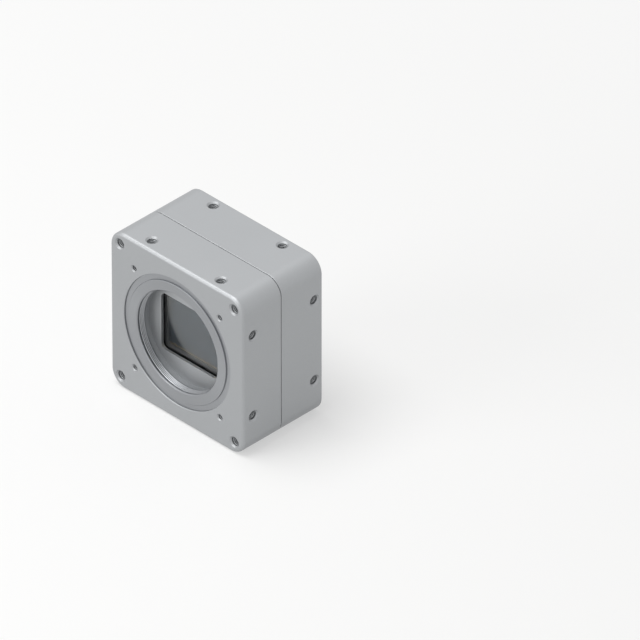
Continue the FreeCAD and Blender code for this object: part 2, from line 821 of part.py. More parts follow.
def all_parts():
    """Every sub-part of the camera by name."""
    front_header, front_socket = make_link(sensor_board_back, processor_board_front, link_row)
    rear_header, rear_socket = make_link(processor_board_back, interface_board_front, -link_row)
    parts = {
        "front_housing": make_front_housing(),
        "lens_mount_ring": make_mount_ring(),
        "mount_ring_screws": make_ring_screws(),
        "sensor_gasket": make_sensor_gasket(),
        "sensor_cover_glass": make_cover_glass(),
        "sensor_package": make_sensor_package(),
        "sensor_chip": make_sensor_chip(),
        "sensor_heat_pad": make_sensor_pad(),
        "sensor_board": make_sensor_board(),
        "cooling_plate": make_cooling_plate(),
        "front_standoffs": make_front_standoffs(),
        "processor_heat_pad": make_processor_pad(),
        "processor_chip": make_processor_chip(),
        "processor_board": make_board(processor_board_front),
        "memory_chips": make_memory_chips(),
        "front_link_header": front_header,
        "front_link_socket": front_socket,
        "rear_link_header": rear_header,
        "rear_link_socket": rear_socket,
        "rear_standoffs": make_rear_standoffs(),
        "power_inductors": make_inductors(),
        "interface_board": make_interface_board(),
        "interface_board_screws": make_board_screws(),
        "line_driver_chips": make_line_drivers(),
        "housing_seal": make_housing_seal(),
        "rear_housing": make_rear_housing(),
        "corner_screws": make_corner_screws(),
        "jack_washers": make_jack_washers(),
        "jack_nuts": make_jack_nuts(),
        "power_shell": make_power_shell(),
        "power_nut": make_power_nut(),
        "power_seal": make_power_seal(),
        "power_insulator": make_power_insulator(),
        "power_pins": make_power_pins(),
        "status_light_pipe": make_light_pipe(),
        "status_lamp": make_status_lamp(),
    }
    for number, x in enumerate(jack_places, start=1):
        parts[f"coax_jack_{number}"] = make_jack(x)
        parts[f"coax_insulator_{number}"] = make_jack_insulator(x)
        parts[f"coax_contact_{number}"] = make_jack_contact(x)
    return parts


os.makedirs("parts", exist_ok=True)
for name, shape in all_parts().items():
    solid = Part.makeCompound(shape) if isinstance(shape, list) else shape
    solid.exportStep(os.path.join("parts", name + ".step"))
    print(f"{name}: {len(solid.Solids)} solid(s), {solid.Volume:.1f} cubic mm")
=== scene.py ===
"""Looks of the machine vision camera: finishes, threads, sensor detail, jack numbers and stage.

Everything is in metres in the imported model's frame: the origin is the optical axis at the front
face, X points right as seen from the front, Y points back through the camera and Z points up.
"""
import json
import math

import bmesh
import bpy
from bpy.props import FloatProperty, FloatVectorProperty, PointerProperty
from mathutils import Matrix, Vector


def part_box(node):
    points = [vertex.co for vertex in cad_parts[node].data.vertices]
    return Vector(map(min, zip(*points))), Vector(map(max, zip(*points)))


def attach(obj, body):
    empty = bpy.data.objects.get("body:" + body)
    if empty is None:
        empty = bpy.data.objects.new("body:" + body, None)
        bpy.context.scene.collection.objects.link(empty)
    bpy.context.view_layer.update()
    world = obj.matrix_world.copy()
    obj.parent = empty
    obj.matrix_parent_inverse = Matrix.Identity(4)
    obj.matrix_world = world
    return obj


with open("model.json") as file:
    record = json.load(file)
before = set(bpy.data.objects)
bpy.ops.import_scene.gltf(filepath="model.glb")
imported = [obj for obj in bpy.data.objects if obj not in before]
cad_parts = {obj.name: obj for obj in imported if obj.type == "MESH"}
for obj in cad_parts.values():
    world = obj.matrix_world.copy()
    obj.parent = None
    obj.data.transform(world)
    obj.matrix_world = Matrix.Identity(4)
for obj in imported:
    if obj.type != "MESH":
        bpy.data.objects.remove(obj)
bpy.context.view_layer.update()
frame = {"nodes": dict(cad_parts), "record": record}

bl_info = {
    "name": "Machine vision camera looks",
    "version": (1, 0, 0),
    "blender": (4, 5, 0),
    "location": "3D View > Sidebar > Machine Camera",
    "description": "Gives the packed camera its finishes, threads, sensor detail and stage",
    "category": "Object",
}

MM = 0.001

# What the frame says
MOUNTS = {mount["name"]: mount for mount in frame["record"]["mounts"]}
JACKS = sorted(name for name in MOUNTS if name.startswith("video_jack_"))
HOLE_PATTERNS = sorted(name for name in MOUNTS if MOUNTS[name]["kind"] == "bolt_pattern")
REAR_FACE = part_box("rear_housing")[1].y
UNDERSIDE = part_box("front_housing")[0].z

# Meshes
SMOOTH_ANGLE = math.radians(35)  # a sharper edge than this stays sharp
SAME_PLACE = 0.001 * MM  # points nearer than this are one
SAME_RADIUS = 0.01 * MM
WIRE_SIDES = 5

# Section of a thread's ridge: half widths as shares of the pitch, and its ends
RIDGE_FOOT = 0.44
RIDGE_CREST = 0.1
RIDGE_SINK = 0.01 * MM  # how deep the foot is sunk into the wall
RIDGE_LEAST = 0.02  # share of the height that is left at the very ends
FADE_PARTS = 3  # the ridge rises and dies away over a third of a turn
HOLE_STEPS, JACK_STEPS, LENS_STEPS = 24, 48, 160  # steps in a turn, more on a wider thread

# Bond wires
BOND_STEPS = 8
BOND_LEAN = 0.7  # under 1, the arch is highest near its inner end

# Jack numbers
FONT_DIGIT_SHARE = 0.73  # height of a digit in Blender's own font, as a share of the font's size
ONE_CORNERS = ((-0.06, -0.5), (0.12, -0.5), (0.12, 0.5), (-0.02, 0.5),
               (-0.26, 0.34), (-0.26, 0.19), (-0.06, 0.31))  # shares of the number's height
READ_FROM_BEHIND = Matrix(((-1, 0, 0), (0, 0, 1), (0, 1, 0))).to_4x4()

# Blender's own measures
WAVE_LENGTH = math.pi / 10  # length of one wave of the Wave Texture at a scale of 1

# Stage
FLOOR_GAP = 0.02 * MM  # keeps the floor's surface apart from the camera's underside
FLOOR_RADIUS = 4
FLOOR_SIDES = 96
PHOTO_PIXELS = 640
FACE_CENTRE_PIXEL = (176.8, 343.05)  # where the photograph has the middle of the front face
VIEW_REACH = 100


def linear(hex_colour):
    """Linear red, green and blue of an sRGB hex colour."""
    values = [int(hex_colour[i:i + 2], 16) / 255 for i in (1, 3, 5)]
    return tuple(v / 12.92 if v <= 0.04045 else ((v + 0.055) / 1.055) ** 2.4 for v in values)


# Settings that a user can change

def colour(name, description, hex_colour):
    """A colour setting."""
    return FloatVectorProperty(name=name, description=description, subtype="COLOR", size=3,
                               min=0, max=1, default=linear(hex_colour))


def length(name, description, millimetres):
    """A length setting, kept in metres."""
    return FloatProperty(name=name, description=description, subtype="DISTANCE", unit="LENGTH",
                         min=0, precision=5, default=millimetres * MM)


def position(name, description, *metres):
    """A setting for a place in the model's frame."""
    return FloatVectorProperty(name=name, description=description, subtype="TRANSLATION",
                               unit="LENGTH", size=3, default=metres)


class CameraFinish(bpy.types.PropertyGroup):
    """Colours of the camera's surfaces"""
    housing: colour("Housings", "Clear anodised aluminium of the two housings", "#A9ABAD")
    mount: colour("Lens mount", "Anodised aluminium of the lens mount ring", "#999B9E")
    screw: colour("Screws", "Stainless steel of the screws", "#A9A8A4")
    plating: colour("Plating", "Nickel plating of the jacks and the power socket", "#BDBAB2")
    gold: colour("Gold", "Gold plating of the contacts and pins", "#E2B356")
    insulator: colour("Insulator", "White insulator of the jacks", "#F1F0EA")
    number: colour("Numbers", "Ink of the jack numbers", "#17181A")


class CameraDetail(bpy.types.PropertyGroup):
    """Sizes of the fine detail that the solids leave out"""
    lens_thread_start: length("Lens thread start",
                              "Depth in the lens bore at which its thread begins", 0.5)
    lens_thread_pitch: length("Lens thread pitch",
                              "Distance between turns of the lens thread", 0.75)
    lens_thread_height: length("Lens thread height",
                               "How far the lens thread stands into the bore", 0.3)
    hole_thread_pitch: length("Large hole pitch",
                              "Distance between turns in the large tapped holes", 0.8)
    small_hole_pitch: length("Small hole pitch",
                             "Distance between turns in the small tapped holes", 0.5)
    hole_thread_height: length("Hole thread height",
                               "How far a thread stands into a tapped hole", 0.2)
    hole_thread_depth: length("Hole thread depth", "Depth of the thread in a tapped hole", 5.2)
    jack_thread_pitch: length("Jack thread pitch", "Distance between turns on the jacks", 0.8)
    jack_thread_height: length("Jack thread height",
                               "How far the thread stands out of a jack", 0.28)
    number_height: length("Number height", "Height of the printed jack numbers", 3.4)
    number_weight: length("Number weight", "How much the numbers' strokes are thickened", 0.08)
    number_rise: length("Number rise",
                        "Distance of a number's middle above its jack's axis", 9.7)
    ink_thickness: length("Ink thickness", "Thickness of the printed ink", 0.02)
    chip_border: length("Chip border",
                        "Width of the bare border round the sensor's pixel field", 1.1)
    bond_pitch: length("Bond wire pitch",
                       "Distance between the sensor chip's bond wires", 0.8)
    bond_radius: length("Bond wire radius",
                        "Radius of a bond wire, thicker than real so that it shows", 0.03)
    bond_rise: length("Bond wire rise", "How far a bond wire arches above its ends", 0.45)
    bond_inner: length("Inner pad place",
                       "Distance of a bond wire's inner end inside the chip's edge", 0.45)
    bond_outer: length("Outer pad place",
                       "Distance of a bond wire's outer end outside the chip's edge", 0.85)
    pad_width: length("Pad width", "Width of a pad under a bond wire's end", 0.28)
    pad_length: length("Pad length", "Length of a pad under a bond wire's end", 0.4)
    pad_thickness: length("Pad thickness", "Thickness of a pad and of the pixel field", 0.02)


class CameraStage(bpy.types.PropertyGroup):
    """Floor, light and view"""
    floor: colour("Floor", "Colour of the floor", "#F1F1F0")
    azimuth: FloatProperty(name="Azimuth", description="Direction of the view; 0 looks along +Y",
                           subtype="ANGLE", unit="ROTATION", default=math.radians(45))
    elevation: FloatProperty(name="Elevation", description="Height of the view above the horizon",
                             subtype="ANGLE", unit="ROTATION",
                             default=math.asin(math.sqrt(1 / 3)))
    frame_width: length("Frame width", "Width that the picture covers at the camera", 270.9)
    lens: FloatProperty(name="Lens", min=1, default=1000,
                        description="Focal length in millimetres, long for parallel edges")
    floor_white: FloatProperty(name="Floor white", min=0, max=1, default=0.45,
                               description="Share of plain white in the floor that is seen")
    fade_start: length("Fade start", "Distance at which the floor begins to turn white", 160)
    fade_end: length("Fade end", "Distance at which the floor is all white", 800)
    key_place: position("Key place", "Where the key light hangs", -0.3, -0.25, 1.35)
    key_size: length("Key size", "Width of the key light", 1000)
    key_power: FloatProperty(name="Key light", description="Power of the key light in watts",
                             min=0, subtype="POWER", unit="POWER", default=13)
    front_place: position("Front place", "Where the front light hangs", -0.5, -1.3, 0.5)
    front_size: length("Front size", "Width of the front light", 900)
    front_power: FloatProperty(name="Front light", description="Power of the front light in watts",
                               min=0, subtype="POWER", unit="POWER", default=7)
    sky_strength: FloatProperty(name="Sky strength", min=0, default=0.42,
                                description="Strength of the even light all round")


# Mesh helpers

def finished_object(name, mesh, material):
    """Turns a bmesh into a piece that rides with the camera."""
    bmesh.ops.recalc_face_normals(mesh, faces=mesh.faces)
    data = bpy.data.meshes.new(name)
    mesh.to_mesh(data)
    mesh.free()
    data.shade_smooth()
    data.set_sharp_from_angle(angle=SMOOTH_ANGLE)
    data.materials.append(material)
    piece = bpy.data.objects.new(name, data)
    bpy.context.scene.collection.objects.link(piece)
    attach(piece, "root")
    return piece


def skin(mesh, loops):
    """Joins a run of loops of points, each as long as the others, into a closed skin."""
    rows = [[mesh.verts.new(point) for point in loop] for loop in loops]
    count = len(rows[0])
    for near, far in zip(rows, rows[1:]):
        for i in range(count):
            mesh.faces.new((near[i], near[(i + 1) % count], far[(i + 1) % count], far[i]))
    mesh.faces.new(rows[0])
    mesh.faces.new(rows[-1])


def thread_ridge(mesh, place, along, radius, height, pitch, start, stop, steps):
    """Adds a thread: a ridge that winds round a line and stays between start and stop on it.

    The line runs through place in the direction along. A positive height stands away from it and
    a negative one towards it. The ridge rises and dies away at its ends, and its foot is sunk
    slightly into the wall. A turn has that many steps."""
    first, last = start + pitch / 2, stop - pitch / 2
    along = Vector(along).normalized()
    across = along.orthogonal().normalized()
    beside = along.cross(across)
    foot = -math.copysign(RIDGE_SINK, height)
    count = round((last - first) / pitch * steps)
    fade = steps / FADE_PARTS
    loops = []
    for i in range(count + 1):
        angle = 2 * math.pi * i / steps
        outward = across * math.cos(angle) + beside * math.sin(angle)
        middle = Vector(place) + along * (first + pitch * i / steps)
        crest = height * max(RIDGE_LEAST, min(1, i / fade, (count - i) / fade))
        section = ((-RIDGE_FOOT, foot), (-RIDGE_CREST, crest),
                   (RIDGE_CREST, crest), (RIDGE_FOOT, foot))
        loops.append([middle + along * (share * pitch) + outward * (radius + lift)
                      for share, lift in section])
    skin(mesh, loops)


def block(mesh, low, high):
    """Adds a plain block between two corners."""
    skin(mesh, [[(low[0], y, low[2]), (high[0], y, low[2]),
                 (high[0], y, high[2]), (low[0], y, high[2])] for y in (low[1], high[1])])


def wire(mesh, points, radius):
    """Adds a thin wire that follows points in a plane of constant X."""
    side = Vector((1, 0, 0))
    turn = [2 * math.pi * k / WIRE_SIDES for k in range(WIRE_SIDES)]
    loops = []
    for i, point in enumerate(points):
        ahead = Vector(points[min(i + 1, len(points) - 1)]) - Vector(points[max(i - 1, 0)])
        lift = ahead.normalized().cross(side)
        loops.append([Vector(point) + radius * (side * math.cos(a) + lift * math.sin(a))
                      for a in turn])
    skin(mesh, loops)


def widest_barrel(node, centre, behind):
    """Radius and rear end of a turned solid's widest barrel behind a plane.

    The barrel's axis runs along Y through centre, which is an X and a Z."""
    rings = [(math.hypot(point.co.x - centre[0], point.co.z - centre[1]), point.co.y)
             for point in frame["nodes"][node].data.vertices if point.co.y > behind]
    radius = max(reach for reach, _ in rings)
    return radius, max(y for reach, y in rings if reach > radius - SAME_RADIUS)


def hole_places(pattern):
    """The mouths of a pattern of four holes, and the direction into them."""
    mount = MOUNTS[pattern]
    axis = Vector(mount["axis"])
    units = [Vector(unit) for unit in ((1, 0, 0), (0, 1, 0), (0, 0, 1))]
    across = [unit for unit in units if abs(unit.dot(axis)) < 0.5]
    half_x = mount["dims"]["spacing_x_mm"] * MM / 2
    half_y = mount["dims"]["spacing_y_mm"] * MM / 2
    return [Vector(mount["pos_m"]) + across[0] * sx * half_x + across[1] * sy * half_y
            for sx in (-1, 1) for sy in (-1, 1)], -axis


# Material helpers

def add(tree, kind, inputs, **settings):
    """Adds a shader node with its settings, and gives each input a value or another's output."""
    made = tree.nodes.new("ShaderNode" + kind)
    for name, value in settings.items():
        setattr(made, name, value)
    for name, value in inputs.items():
        if isinstance(value, bpy.types.NodeSocket):
            tree.links.new(value, made.inputs[name])
        else:
            made.inputs[name].default_value = value
    return made


def surface(name, tones, roughness, cloud_mm, grain_mm, relief_mm, lines=None, **constants):
    """A material whose colour wanders between two tones in clouds of one size, and whose
    roughness and relief follow a grain of another. lines = (wave type, direction, spacing in mm)
    adds tool marks. The constants go to the shader's own sockets."""
    material = bpy.data.materials.new(name)
    material.use_nodes = True
    tree = material.node_tree
    shader = tree.nodes["Principled BSDF"]
    for socket, value in constants.items():
        shader.inputs[socket.replace("_", " ")].default_value = value
    place = add(tree, "TexCoord", {}).outputs["Object"]
    cloud = add(tree, "TexNoise", {"Vector": place, "Scale": 1 / (cloud_mm * MM), "Detail": 3})
    noise = add(tree, "TexNoise", {"Vector": place, "Scale": 1 / (grain_mm * MM), "Detail": 2})
    grain, highest = noise.outputs["Fac"], 0.8
    if lines:
        kind, direction, spacing_mm = lines
        direction_setting = {"BANDS": "bands_direction", "RINGS": "rings_direction"}[kind]
        wave = add(tree, "TexWave", {"Vector": place, "Scale": WAVE_LENGTH / (spacing_mm * MM),
                                     "Distortion": 1.5, "Detail": 2, "Detail Scale": 0.3},
                   wave_type=kind, **{direction_setting: direction})
        grain = add(tree, "Math", {0: grain, 1: wave.outputs["Fac"]}, operation="ADD").outputs[0]
        highest += 1
    tone = add(tree, "MixRGB", {"Fac": cloud.outputs["Fac"], "Color1": (*tones[0], 1),
                                "Color2": (*tones[1], 1)})
    spread = add(tree, "MapRange", {"Value": grain, "From Min": 0.2, "From Max": highest,
                                    "To Min": roughness[0], "To Max": roughness[1]})
    bump = add(tree, "Bump", {"Height": grain, "Distance": relief_mm * MM, "Strength": 1})
    tree.links.new(tone.outputs[0], shader.inputs["Base Color"])
    tree.links.new(spread.outputs[0], shader.inputs["Roughness"])
    tree.links.new(bump.outputs[0], shader.inputs["Normal"])
    return material


def shade(colour_value, share):
    """A colour made lighter or darker by a share."""
    return tuple(min(1, c * share) for c in colour_value)


def finish(name):
    """The colour that the finish settings give one surface."""
    return tuple(getattr(bpy.context.scene.camera_finish, name))


# Materials, each named for the real material and how its surface was made

def blasted_anodised_aluminium():
    """Bead blasted and clear anodised aluminium: an even, silky light grey with a fine sparkle
    and soft, wide highlights. The blasting grain is about 0.1 mm; 0.35 mm is drawn so that it
    shows."""
    tone = finish("housing")
    return surface("blasted_anodised_aluminium", (shade(tone, 0.97), shade(tone, 1.02)),
                   roughness=(0.48, 0.6), cloud_mm=30, grain_mm=0.35, relief_mm=0.012,
                   Metallic=1.0)


def turned_anodised_aluminium():
    """Turned and clear anodised aluminium: fine rings from the tool catch the light round the
    lens bore. Tool marks are about 0.05 mm apart; 0.3 mm is drawn so that they show."""
    tone = finish("mount")
    material = surface("turned_anodised_aluminium", (shade(tone, 0.96), shade(tone, 1.03)),
                       roughness=(0.28, 0.4), cloud_mm=20, grain_mm=0.3, relief_mm=0.004,
                       lines=("RINGS", "Y", 0.3), Metallic=1.0, Anisotropic=0.6)
    tree = material.node_tree
    round_the_bore = add(tree, "Tangent", {}, direction_type="RADIAL", axis="Y")
    tree.links.new(round_the_bore.outputs[0], tree.nodes["Principled BSDF"].inputs["Tangent"])
    return material


def milled_aluminium():
    """Milled aluminium: bright, with straight cutter marks about 0.4 mm apart."""
    return surface("milled_aluminium", (linear("#C8C9CA"), linear("#D8D9DA")),
                   roughness=(0.28, 0.42), cloud_mm=15, grain_mm=0.4, relief_mm=0.006,
                   lines=("BANDS", "X", 0.4), Metallic=1.0)


def headed_stainless_steel():
    """Cold headed stainless steel: a warm mid grey, smooth and a little uneven from the die."""
    tone = finish("screw")
    return surface("headed_stainless_steel", (shade(tone, 0.9), shade(tone, 1.08)),
                   roughness=(0.24, 0.4), cloud_mm=1.5, grain_mm=0.25, relief_mm=0.004,
                   Metallic=1.0)


def nickel_plated_brass():
    """Turned brass under bright nickel: warm silver with sharp highlights and faint turning
    lines. The lines are about 0.05 mm apart; 0.25 mm is drawn so that they show."""
    tone = finish("plating")
    return surface("nickel_plated_brass", (shade(tone, 0.94), shade(tone, 1.05)),
                   roughness=(0.14, 0.26), cloud_mm=4, grain_mm=0.25, relief_mm=0.002,
                   lines=("BANDS", "Y", 0.25), Metallic=1.0)


def satin_nickel_plated_brass():
    """Turned and lightly blasted brass under satin nickel: a soft, slightly warm grey with wide
    highlights. The blasting grain is about 0.05 mm; 0.2 mm is drawn so that it shows."""
    tone = finish("plating")
    return surface("satin_nickel_plated_brass", (shade(tone, 0.74), shade(tone, 0.84)),
                   roughness=(0.3, 0.44), cloud_mm=4, grain_mm=0.2, relief_mm=0.004,
                   Metallic=1.0)


def oiled_nickel_thread():
    """Thread cut in brass and nickel plated, coloured darker than the turned barrel: painted shade
    for its grooves. The real pitch is about 0.5 mm; 0.8 mm is drawn so that it shows."""
    tone = finish("plating")
    # tones well under the plating's own: painted shade standing in for the grooves' shadow
    return surface("oiled_nickel_thread", (shade(tone, 0.38), shade(tone, 0.52)),
                   roughness=(0.26, 0.4), cloud_mm=3, grain_mm=0.2, relief_mm=0.003,
                   Metallic=1.0)


def gold_plated_bronze():
    """Drawn bronze under gold: deep yellow and smooth, slightly mottled."""
    tone = finish("gold")
    return surface("gold_plated_bronze", (shade(tone, 0.93), shade(tone, 1.04)),
                   roughness=(0.16, 0.28), cloud_mm=0.8, grain_mm=0.15, relief_mm=0.001,
                   Metallic=1.0)


def turned_fluoropolymer():
    """Turned white fluoropolymer: waxy and slightly see-through, with faint turning lines."""
    tone = finish("insulator")
    return surface("turned_fluoropolymer", (shade(tone, 0.97), tone),
                   roughness=(0.35, 0.5), cloud_mm=2, grain_mm=0.2, relief_mm=0.003,
                   lines=("BANDS", "Y", 0.2), Subsurface_Weight=0.15,
                   Subsurface_Scale=0.4 * MM, IOR=1.35)


def moulded_polyester():
    """Moulded black polyester: matt with a fine spark-eroded grain."""
    return surface("moulded_polyester", (linear("#121315"), linear("#1B1C1E")),
                   roughness=(0.45, 0.6), cloud_mm=3, grain_mm=0.15, relief_mm=0.004, IOR=1.57)


def moulded_silicone():
    """Moulded black silicone rubber: deep matt black with a dusty bloom."""
    return surface("moulded_silicone", (linear("#0E0E0F"), linear("#1A1A1B")),
                   roughness=(0.65, 0.8), cloud_mm=2, grain_mm=0.2, relief_mm=0.006, IOR=1.41)


def polished_cover_glass():
    """Polished and coated borosilicate: clear, with a faint cool tint and almost no haze."""
    return surface("polished_cover_glass", (linear("#F2F8F6"), linear("#FAFDFC")),
                   roughness=(0.0, 0.02), cloud_mm=10, grain_mm=4, relief_mm=0.0,
                   Transmission_Weight=1.0, IOR=1.47)


def diced_silicon():
    """Etched and diced silicon: dark grey, smooth and glassy round the light-sensitive field."""
    return surface("diced_silicon", (linear("#2A2E33"), linear("#343A40")),
                   roughness=(0.12, 0.2), cloud_mm=3, grain_mm=0.5, relief_mm=0.001,
                   Metallic=0.6)


def coated_pixel_field():
    """Pixels under moulded micro lenses and colour filters: smooth, dark blue green with a thin
    film's shimmer. Its pixels are a few thousandths of a millimetre and don't show; the tone
    drifts over 6 mm."""
    return surface("coated_pixel_field", (linear("#12222A"), linear("#1D3844")),
                   roughness=(0.16, 0.22), cloud_mm=6, grain_mm=1.5, relief_mm=0.0001,
                   Metallic=0.7, Thin_Film_Thickness=380.0, Thin_Film_IOR=1.6)


def fired_ceramic():
    """Fired dark alumina: dense, matt and slightly grainy."""
    return surface("fired_ceramic", (linear("#2B2A2D"), linear("#38373A")),
                   roughness=(0.5, 0.65), cloud_mm=2, grain_mm=0.12, relief_mm=0.006, IOR=1.77)


def solder_masked_laminate():
    """Glass laminate under green solder mask: glossy, with the weave showing faintly every
    0.5 mm."""
    return surface("solder_masked_laminate", (linear("#0F4A2A"), linear("#18633A")),
                   roughness=(0.2, 0.35), cloud_mm=3, grain_mm=0.5, relief_mm=0.008,
                   lines=("BANDS", "X", 0.5), IOR=1.55)


def moulded_epoxy():
    """Moulded chip epoxy: near black, matt, with a fine filler grain."""
    return surface("moulded_epoxy", (linear("#18181A"), linear("#222225")),
                   roughness=(0.5, 0.65), cloud_mm=1.5, grain_mm=0.1, relief_mm=0.005, IOR=1.55)


def pressed_ferrite():
    """Pressed ferrite: dark brown grey with a gritty, slightly shiny face."""
    return surface("pressed_ferrite", (linear("#35322F"), linear("#454240")),
                   roughness=(0.4, 0.6), cloud_mm=1, grain_mm=0.15, relief_mm=0.01, IOR=2.0)


def filled_silicone_pad():
    """Soft silicone pad filled with ceramic powder: pale blue grey and chalky."""
    return surface("filled_silicone_pad", (linear("#8FA3B4"), linear("#A2B4C2")),
                   roughness=(0.75, 0.9), cloud_mm=2, grain_mm=0.2, relief_mm=0.02, IOR=1.45)


def moulded_polycarbonate():
    """Moulded milky polycarbonate: a pale, cloudy lens with a smooth, glossy face."""
    return surface("moulded_polycarbonate", (linear("#E4EAE4"), linear("#F0F4EE")),
                   roughness=(0.14, 0.22), cloud_mm=2, grain_mm=0.3, relief_mm=0.002,
                   Transmission_Weight=0.25, Subsurface_Weight=0.3,
                   Subsurface_Scale=1.0 * MM, IOR=1.58)


def cast_lamp_resin():
    """Cast lamp resin: pale yellow green and glossy."""
    return surface("cast_lamp_resin", (linear("#D9E3A6"), linear("#E8EFC0")),
                   roughness=(0.15, 0.25), cloud_mm=1, grain_mm=0.2, relief_mm=0.002, IOR=1.5)


def screen_printed_ink():
    """Screen printed two-part ink: flat black with a very slight orange peel."""
    tone = finish("number")
    return surface("screen_printed_ink", (shade(tone, 0.9), shade(tone, 1.2)),
                   roughness=(0.5, 0.62), cloud_mm=1, grain_mm=0.12, relief_mm=0.002, IOR=1.5)


def painted_floor(settings):
    """Matt painted board: pale and even. What the camera, a mirror or glass sees of it is part
    lit and part plain white, so that the picture's ground is white and still keeps the shadow,
    and it turns all white away from the object, where it meets the white sky."""
    material = surface("painted_floor", (shade(settings.floor, 0.985), tuple(settings.floor)),
                       roughness=(0.75, 0.85), cloud_mm=60, grain_mm=2, relief_mm=0.01, IOR=1.45)
    tree = material.node_tree
    place = add(tree, "TexCoord", {}).outputs["Object"]
    away = add(tree, "VectorMath", {0: place}, operation="LENGTH").outputs["Value"]
    fade = add(tree, "MapRange", {"Value": away, "From Min": settings.fade_start,
                                  "From Max": settings.fade_end, "To Min": settings.floor_white,
                                  "To Max": 1.0},
               interpolation_type="SMOOTHSTEP").outputs[0]
    share = add(tree, "Math", {0: fade, 1: seen_directly(tree)}, operation="MULTIPLY").outputs[0]
    white = add(tree, "Emission", {"Color": (1, 1, 1, 1), "Strength": 1})
    mix = add(tree, "MixShader", {0: share, 1: tree.nodes["Principled BSDF"].outputs[0],
                                  2: white.outputs[0]})
    tree.links.new(mix.outputs[0], tree.nodes["Material Output"].inputs["Surface"])
    return material


def seen_directly(tree):
    """1 for what the camera, a mirror or glass sees, and 0 for light that falls on things."""
    path = add(tree, "LightPath", {}).outputs
    glossy = add(tree, "Math", {0: path["Is Camera Ray"], 1: path["Is Glossy Ray"]},
                 operation="MAXIMUM")
    return add(tree, "Math", {0: glossy.outputs[0], 1: path["Is Transmission Ray"]},
               operation="MAXIMUM").outputs[0]


def dress(material, *nodes):
    """Gives solids their material in place of the plain one they came with."""
    for name in nodes:
        data = frame["nodes"][name].data
        data.materials.clear()
        data.materials.append(material)


# Operators, one for each group of pieces

class CAMERA_OT_housings(bpy.types.Operator):
    """Finishes the two housings and the seal between them"""
    bl_idname = "machine_camera.housings"
    bl_label = "Housings"

    def execute(self, context):
        dress(blasted_anodised_aluminium(), "front_housing", "rear_housing")
        dress(moulded_silicone(), "housing_seal")
        return {"FINISHED"}


class CAMERA_OT_tapped_holes(bpy.types.Operator):
    """Cuts threads into the tapped holes of the housings"""
    bl_idname = "machine_camera.tapped_holes"
    bl_label = "Tapped Holes"

    def execute(self, context):
        detail = context.scene.camera_detail
        aluminium = bpy.data.materials["blasted_anodised_aluminium"]
        largest = max(MOUNTS[name]["dims"]["hole_r_mm"] for name in HOLE_PATTERNS)
        for name in HOLE_PATTERNS:
            mouths, inward = hole_places(name)
            radius = MOUNTS[name]["dims"]["hole_r_mm"]
            pitch = detail.hole_thread_pitch if radius == largest else detail.small_hole_pitch
            height = detail.hole_thread_height * radius / largest
            mesh = bmesh.new()
            for mouth in mouths:
                thread_ridge(mesh, mouth, inward, radius * MM, -height, pitch, start=0,
                             stop=detail.hole_thread_depth, steps=HOLE_STEPS)
            finished_object(name + "_thread", mesh, aluminium)
        return {"FINISHED"}


class CAMERA_OT_lens_mount(bpy.types.Operator):
    """Finishes the lens mount ring and cuts its thread"""
    bl_idname = "machine_camera.lens_mount"
    bl_label = "Lens Mount"

    def execute(self, context):
        detail = context.scene.camera_detail
        material = turned_anodised_aluminium()
        dress(material, "lens_mount_ring")
        dress(headed_stainless_steel(), "mount_ring_screws")
        mount = MOUNTS["lens_mount"]
        mesh = bmesh.new()
        thread_ridge(mesh, mount["pos_m"], (0, 1, 0), mount["dims"]["r_mm"] * MM,
                     -detail.lens_thread_height, detail.lens_thread_pitch,
                     start=detail.lens_thread_start, stop=mount["dims"]["length_mm"] * MM,
                     steps=LENS_STEPS)
        finished_object("lens_mount_thread", mesh, material)
        return {"FINISHED"}


class CAMERA_OT_sensor(bpy.types.Operator):
    """Finishes the sensor and adds its pixel field and bond wires"""
    bl_idname = "machine_camera.sensor"
    bl_label = "Sensor"

    def execute(self, context):
        dress(bpy.data.materials["moulded_silicone"], "sensor_gasket")
        dress(polished_cover_glass(), "sensor_cover_glass")
        dress(fired_ceramic(), "sensor_package")
        dress(diced_silicon(), "sensor_chip")
        detail = context.scene.camera_detail
        low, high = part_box("sensor_chip")
        border = detail.chip_border
        field = bmesh.new()
        block(field, (low.x + border, low.y - detail.pad_thickness, low.z + border),
              (high.x - border, low.y + detail.pad_thickness / 2, high.z - border))
        finished_object("sensor_pixel_field", field, coated_pixel_field())
        self.add_bond_wires(detail, low, high)
        return {"FINISHED"}

    def add_bond_wires(self, detail, low, high):
        """Gold wires from the chip's long edges down to pads on the ceramic."""
        wires = bmesh.new()
        count = int((high.x - low.x) / detail.bond_pitch) - 1
        for side, edge in ((-1, low.z), (1, high.z)):
            for i in range(count):
                x = (i - (count - 1) / 2) * detail.bond_pitch
                self.add_bond(detail, wires, x, edge, side, low.y, high.y)
        finished_object("sensor_bond_wires", wires, gold_plated_bronze())

    def add_bond(self, detail, mesh, x, edge, side, chip_front, floor):
        """One wire with a pad at each end, from the chip's front to the floor it lies on."""
        inner, outer = edge - side * detail.bond_inner, edge + side * detail.bond_outer
        points = []
        for i in range(BOND_STEPS + 1):
            share = i / BOND_STEPS
            arch = detail.bond_rise * math.sin(math.pi * share ** BOND_LEAN)
            points.append((x, chip_front + (floor - chip_front) * share - arch,
                           inner + (outer - inner) * share))
        wire(mesh, points, detail.bond_radius)
        half_width, half_length = detail.pad_width / 2, detail.pad_length / 2
        for z, y in ((inner, chip_front), (outer, floor)):
            block(mesh, (x - half_width, y - detail.pad_thickness / 2, z - half_length),
                  (x + half_width, y + detail.pad_thickness / 4, z + half_length))


